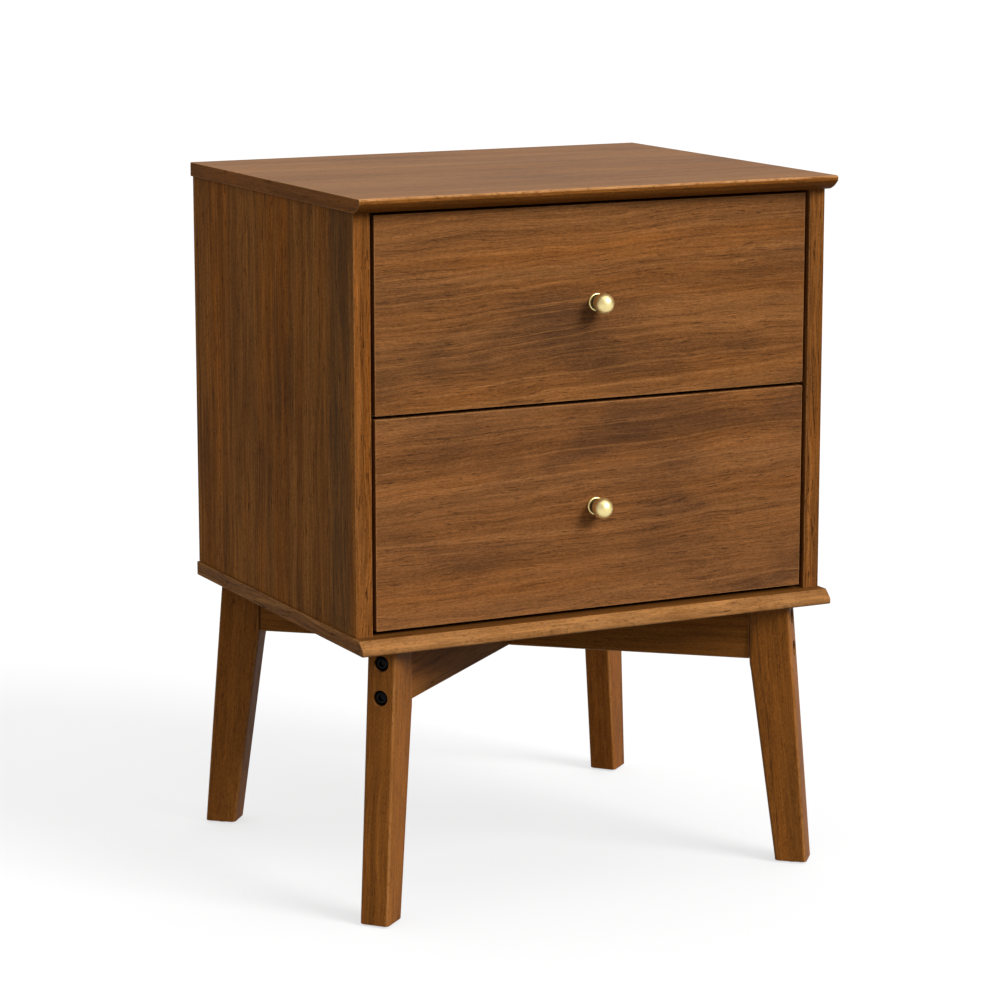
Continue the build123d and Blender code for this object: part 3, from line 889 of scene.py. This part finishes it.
def channel(web, lip, low, high, gauge=0.0012, bend=0.0022):
    """Outline of a pressed channel: an upright web with a lip bent over at each end."""
    inward = 1 if lip > web else -1
    corner = [(web + inward * (bend - bend * sin(radians(a))), low + bend - bend * cos(radians(a)))
              for a in range(0, 91, 18)]
    outside = [(lip, low)] + corner
    inside = [(lip, low + gauge)] + [(x + inward * gauge, z + gauge) for x, z in corner]

    def both_ends(half):
        return half + [(x, low + high - z) for x, z in reversed(half)]

    return both_ends(outside) + both_ends(inside)[::-1]


class NIGHTSTAND_OT_slides(bpy.types.Operator):
    """Telescopic slides as pressed channels"""
    bl_idname = "nightstand.slides"
    bl_label = "Drawer Slides"

    def execute(self, context):
        zinc = material("zinc", zinc_plate)
        bodies = {"outer": "carcass", "middle": "{}_slide_middle", "inner": "{}_drawer"}
        for drawer in DRAWERS:
            for member, body in bodies.items():
                for side, sign in SIDES.items():
                    node = f"{drawer}_slide_{member}_{side}"
                    low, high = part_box(node)
                    web_out = sign > 0 if member != "inner" else sign < 0
                    web, lip = (high.x, low.x) if web_out else (low.x, high.x)
                    bm = prism(channel(web, lip, low.z, high.z), low.y, high.y,
                               lambda x, z, y: Vector((x, y, z)))
                    piece(f"{node}_steel", bm, zinc, body.format(drawer), [node])
        return {"FINISHED"}


# ---- base -----------------------------------------------------------------------------------
def base_centre():
    """Where the rails cross, at floor level."""
    low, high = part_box("cross_rail_first")
    return Vector(((low.x + high.x) / 2, (low.y + high.y) / 2, 0))


def radial(corner):
    """Direction from the base's centre to a corner's leg."""
    angle = bpy.context.scene.nightstand_base.leg_angle
    return Vector((corner[0] * cos(angle), corner[1] * sin(angle), 0))


def bolt_heights():
    """Heights of a leg's two bolts."""
    base = bpy.context.scene.nightstand_base
    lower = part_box("cross_rail_first")[0].z + base.bolt_rise
    return lower, lower + base.bolt_spacing


def outer_reach(z):
    """Reach of a leg's sloping outer face at a height."""
    base = bpy.context.scene.nightstand_base
    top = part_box("cross_rail_first")[1].z
    return base.foot_reach + (base.top_reach - base.foot_reach) * z / top


def inner_reach(z):
    """Reach of a leg's inner face: upright beside the rail, then out to the foot."""
    base = bpy.context.scene.nightstand_base
    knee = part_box("cross_rail_first")[0].z
    foot = base.foot_reach - base.foot_width
    slope = (base.knee_reach - foot) / knee
    straight = foot + slope * z
    ease = 0.010
    if z > knee + ease:
        return base.knee_reach
    if z < knee - ease:
        return straight
    splayed = (1 - (z - knee + ease) / (2 * ease)) ** 2
    return straight * splayed + base.knee_reach * (1 - splayed)


def rounded_ring(point, inner, outer, half, radius, steps=4):
    """Rounded rectangle in plan between two reaches, through point(reach, offset)."""
    ring = []
    for cx, cy, start in ((outer - radius, half - radius, 0), (inner + radius, half - radius, 90),
                          (inner + radius, -half + radius, 180), (outer - radius, -half + radius, 270)):
        ring += [point(*p) for p in arc((cx, cy), radius, start, start + 90, steps)]
    return ring


class NIGHTSTAND_OT_legs(bpy.types.Operator):
    """Splayed legs, set diagonally, with counterbored bolt holes"""
    bl_idname = "nightstand.legs"
    bl_label = "Legs"

    def execute(self, context):
        base = context.scene.nightstand_base
        wood = material("leg_wood", stained_wood, pith=(0.03, 0.05), taper=0.01, wander=0.02, red=0.6,
                        dark=0.4, shade=(0.95, 0.78, 0.46), sheen=0.03, wear=0.4)
        centre = base_centre()
        low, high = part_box("leg_front_left")
        # close rings where the edge of either end rounds over, and even ones between
        edge, rows = 0.0009, 44
        heights = [low.z, low.z + edge * 0.4, low.z + edge]
        heights += list(np.linspace(low.z + 0.004, high.z - 0.003, rows)) + [high.z - edge, high.z]
        bore, depth, clear = base.bore_radius, base.bore_depth, 0.012
        for order, (place, corner) in enumerate(CORNERS.items()):
            out = radial(corner)
            side = out.cross(UP)
            rings = []
            for z in heights:
                close = max(0.0, low.z + edge - z, z - high.z + edge)
                inset = edge - (edge ** 2 - close ** 2) ** 0.5 if close else 0.0
                rings.append(rounded_ring(
                    lambda reach, offset: centre + out * reach + side * offset + UP * z,
                    inner_reach(z) + inset, outer_reach(z) - inset, base.thickness / 2 - inset,
                    base.leg_arris))
            holes = [turned([(-clear, 0), (-clear, bore), (depth, bore), (depth, 0)],
                            centre + out * outer_reach(z) + UP * z, -out, 40)
                     for z in bolt_heights()]
            bm = carved(loft(rings), holes)
            mark_rounds(bm, side, out)
            lean = (out * (base.foot_reach - base.top_reach) - UP * high.z).normalized()
            piece(f"leg_{place}_wood", bm, wood, nodes=[f"leg_{place}"],
                  grain=(lean, side, 12.5 + 2.1 * order))
        return {"FINISHED"}


def mark_rounds(bm, *flats):
    """Marks faces that look along neither of the flat directions as worn edges."""
    mark_worn_and_highlit(bm, lambda face: 0.6 < max([abs(face.normal.dot(d)) for d in flats]
                                         + [abs(face.normal.z)]) < 0.93)


class NIGHTSTAND_OT_cross_rails(bpy.types.Operator):
    """Two rails halved over each other where they cross"""
    bl_idname = "nightstand.cross_rails"
    bl_label = "Cross Rails"

    def execute(self, context):
        base = context.scene.nightstand_base
        wood = material("rail_wood", stained_wood, pith=(0.06, 0.04), taper=0.02, red=0.35, dark=0.5,
                        shade=(0.83, 0.72, 0.5))
        centre = base_centre()
        low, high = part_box("cross_rail_first")
        half, middle = base.rail_thickness / 2, (low.z + high.z) / 2
        arris, clear, notch_reach, past = 0.0014, 0.00005, 0.05, 0.01
        ends = {"first": CORNERS["front_left"], "second": CORNERS["front_right"]}
        for order, (name, corner) in enumerate(ends.items()):
            along = radial(corner)
            other = radial(ends["second" if name == "first" else "first"])
            turn = Matrix((along, along.cross(UP) * -1, UP)).transposed().to_4x4()
            rail = board((-base.knee_reach, -half, low.z), (base.knee_reach, half, high.z), arris)
            rail.transform(Matrix.Translation(centre) @ turn)
            turn = Matrix((other, other.cross(UP) * -1, UP)).transposed().to_4x4()
            bottom, top = (middle, high.z + past) if name == "first" else (low.z - past, middle)
            notch = board((-notch_reach, -half - clear, bottom), (notch_reach, half + clear, top), 0)
            notch.transform(Matrix.Translation(centre) @ turn)
            bm = carved(rail, [notch])
            piece(f"cross_rail_{name}_wood", bm, wood,
                  nodes=[f"cross_rail_{name}"], grain=(along, UP, 21.3 + 3.3 * order))
        return {"FINISHED"}


def bolt_profile(cap):
    """Shank, cap with a domed face, and the key's socket, measured from the cap's seat."""
    shank_end, shank = -0.060, 0.003
    rim_height, rim = 0.0016, cap - 0.0002
    dome, socket, socket_floor = 0.0030, 0.0028, 0.0014
    profile = [(shank_end, 0), (shank_end, shank), (0, shank), (0, rim), (rim_height, rim)]
    profile += [(rim_height + dome * sin(radians(a)), socket + (rim - socket) * cos(radians(a)))
                for a in (15, 30, 45, 60, 75, 88)]
    return profile + [(0.0044, socket - 0.0001), (socket_floor, socket - 0.0002),
                      (socket_floor - 0.0002, 0)]


class NIGHTSTAND_OT_leg_bolts(bpy.types.Operator):
    """Black cap bolts in the legs, and the hidden fasteners"""
    bl_idname = "nightstand.leg_bolts"
    bl_label = "Leg Bolts"

    def execute(self, context):
        base = context.scene.nightstand_base
        centre = base_centre()
        bolts = []
        for corner in CORNERS.values():
            out = radial(corner)
            for z in bolt_heights():
                seat = centre + out * (outer_reach(z) - base.bore_depth) + UP * z
                bolts.append(turned(bolt_profile(base.cap_radius), seat, out, 40))
        piece("leg_bolts_black", merged(bolts), material("black_gloss", black_gloss),
              nodes=["leg_bolts"])
        zinc = material("zinc", zinc_plate)
        finish_node("barrel_nuts", zinc)
        finish_node("base_screws", zinc)
        return {"FINISHED"}


class NIGHTSTAND_OT_foot_pads(bpy.types.Operator):
    """Felt pads under the feet"""
    bl_idname = "nightstand.foot_pads"
    bl_label = "Foot Pads"

    def execute(self, context):
        base = context.scene.nightstand_base
        centre = base_centre()
        low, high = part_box("foot_pads")
        tall, radius = high.z - low.z, 0.009
        reach = base.foot_reach - base.foot_width / 2
        profile = [(0, 0), (0, radius - 0.0004), (0.0004, radius), (tall - 0.0003, radius * 0.985),
                   (tall, radius * 0.96), (tall, 0)]
        pads = [turned(profile, centre + radial(corner) * reach, UP, 40) for corner in CORNERS.values()]
        piece("foot_pads_felt", merged(pads), material("foot_felt", felt), nodes=["foot_pads"])
        return {"FINISHED"}


# ---- studio ---------------------------------------------------------------------------------
def broad_light(name, direction, strength, spread):
    """Soft light of even strength from a direction; spread is its size in degrees."""
    light = bpy.data.lights.new(name, "SUN")
    light.energy = strength
    light.angle = radians(spread)
    holder = bpy.data.objects.new(name, light)
    holder.location = Vector(direction) * 3    # clear of the nightstand, for the eye only
    holder.rotation_euler = Vector(direction).to_track_quat("Z", "Y").to_euler()
    bpy.context.scene.collection.objects.link(holder)


def room_air(fill):
    """Pale room: brighter overhead and to the left, dim near the ground."""
    world = bpy.data.worlds.new("studio_air")
    world.use_nodes = True
    tree = world.node_tree
    add = tree.nodes.new
    air = tree.nodes["Background"]
    where = add("ShaderNodeTexCoord")
    turn = add("ShaderNodeVectorMath")
    turn.operation = "DOT_PRODUCT"
    turn.inputs[1].default_value = (-0.35, -0.30, 0.89)
    level = add("ShaderNodeMapRange")
    level.interpolation_type = "SMOOTHSTEP"
    for key, value in (("From Min", -0.6), ("From Max", 0.6),
                       ("To Min", fill * 0.15), ("To Max", fill)):
        level.inputs[key].default_value = value
    backdrop = add("ShaderNodeBackground")
    path = add("ShaderNodeLightPath")
    blend = add("ShaderNodeMixShader")
    tree.links.new(where.outputs["Generated"], turn.inputs[0])
    tree.links.new(turn.outputs["Value"], level.inputs["Value"])
    tree.links.new(level.outputs[0], air.inputs["Strength"])
    for background in (air, backdrop):
        background.inputs["Color"].default_value = (1, 1, 1, 1)
    tree.links.new(path.outputs["Is Camera Ray"], blend.inputs[0])
    tree.links.new(air.outputs[0], blend.inputs[1])
    tree.links.new(backdrop.outputs[0], blend.inputs[2])
    tree.links.new(blend.outputs[0], tree.nodes["World Output"].inputs["Surface"])
    return world


class NIGHTSTAND_OT_studio(bpy.types.Operator):
    """Pale floor, soft lights and the camera"""
    bl_idname = "nightstand.studio"
    bl_label = "Studio"

    def execute(self, context):
        scene = context.scene
        studio = scene.nightstand_studio
        radius, depth, steps = 60, 0.02, 96
        angles = [2 * pi * i / steps for i in range(steps)]
        rings = [[Vector((radius * cos(a), radius * sin(a), z)) for a in angles] for z in (-depth, 0)]
        mesh = bpy.data.meshes.new("studio_floor")
        bm = loft(rings)
        bm.to_mesh(mesh)
        bm.free()
        mesh.materials.append(studio_floor("studio_floor"))
        floor = bpy.data.objects.new("studio_floor", mesh)
        scene.collection.objects.link(floor)
        floor.visible_diffuse = False

        broad_light("key_light", direction=(0.55, -0.95, 0.75), strength=studio.key, spread=28)
        broad_light("overhead_light", direction=(0.15, 0.1, 1.0), strength=studio.overhead, spread=70)
        scene.world = room_air(studio.fill)

        camera = bpy.data.cameras.new("studio_camera")
        camera.lens = studio.lens
        camera.sensor_width = 36
        holder = bpy.data.objects.new("studio_camera", camera)
        holder.location = studio.camera_place
        holder.rotation_euler = (pi / 2 - studio.tilt, 0, -studio.heading)
        scene.collection.objects.link(holder)
        scene.camera = holder
        scene.view_settings.view_transform = "Standard"
        scene.view_settings.look = "None"
        return {"FINISHED"}


# ---- add-on ---------------------------------------------------------------------------------
groups = {"nightstand_finish": NightstandFinish, "nightstand_case": NightstandCase,
          "nightstand_base": NightstandBase, "nightstand_studio": NightstandStudio}

operators = (NIGHTSTAND_OT_studio, NIGHTSTAND_OT_top_panel, NIGHTSTAND_OT_bottom_panel,
             NIGHTSTAND_OT_side_panels, NIGHTSTAND_OT_back_panel, NIGHTSTAND_OT_divider_rail,
             NIGHTSTAND_OT_drawer_fronts, NIGHTSTAND_OT_drawer_boxes, NIGHTSTAND_OT_knobs,
             NIGHTSTAND_OT_slides, NIGHTSTAND_OT_legs, NIGHTSTAND_OT_cross_rails,
             NIGHTSTAND_OT_leg_bolts, NIGHTSTAND_OT_foot_pads)


class NIGHTSTAND_PT_build(bpy.types.Panel):
    """Lists the nightstand's pieces and the studio"""
    bl_label = "Nightstand"
    bl_idname = "NIGHTSTAND_PT_build"
    bl_space_type = "VIEW_3D"
    bl_region_type = "UI"
    bl_category = "Nightstand"

    def draw(self, context):
        for operator in operators:
            self.layout.operator(operator.bl_idname)
        for holder, group in groups.items():
            section = self.layout.box()
            section.label(text=group.__doc__)
            for name in group.__annotations__:
                section.prop(getattr(context.scene, holder), name)


def register():
    for item in (*groups.values(), *operators, NIGHTSTAND_PT_build):
        bpy.utils.register_class(item)
    for holder, group in groups.items():
        setattr(bpy.types.Scene, holder, PointerProperty(type=group))


def unregister():
    for holder in groups:
        delattr(bpy.types.Scene, holder)
    for item in (NIGHTSTAND_PT_build, *reversed(operators), *reversed(list(groups.values()))):
        bpy.utils.unregister_class(item)


def main():
    register()
    for operator in operators:
        family, name = operator.bl_idname.split(".")
        getattr(getattr(bpy.ops, family), name)()


if __name__ == "__main__":
    main()
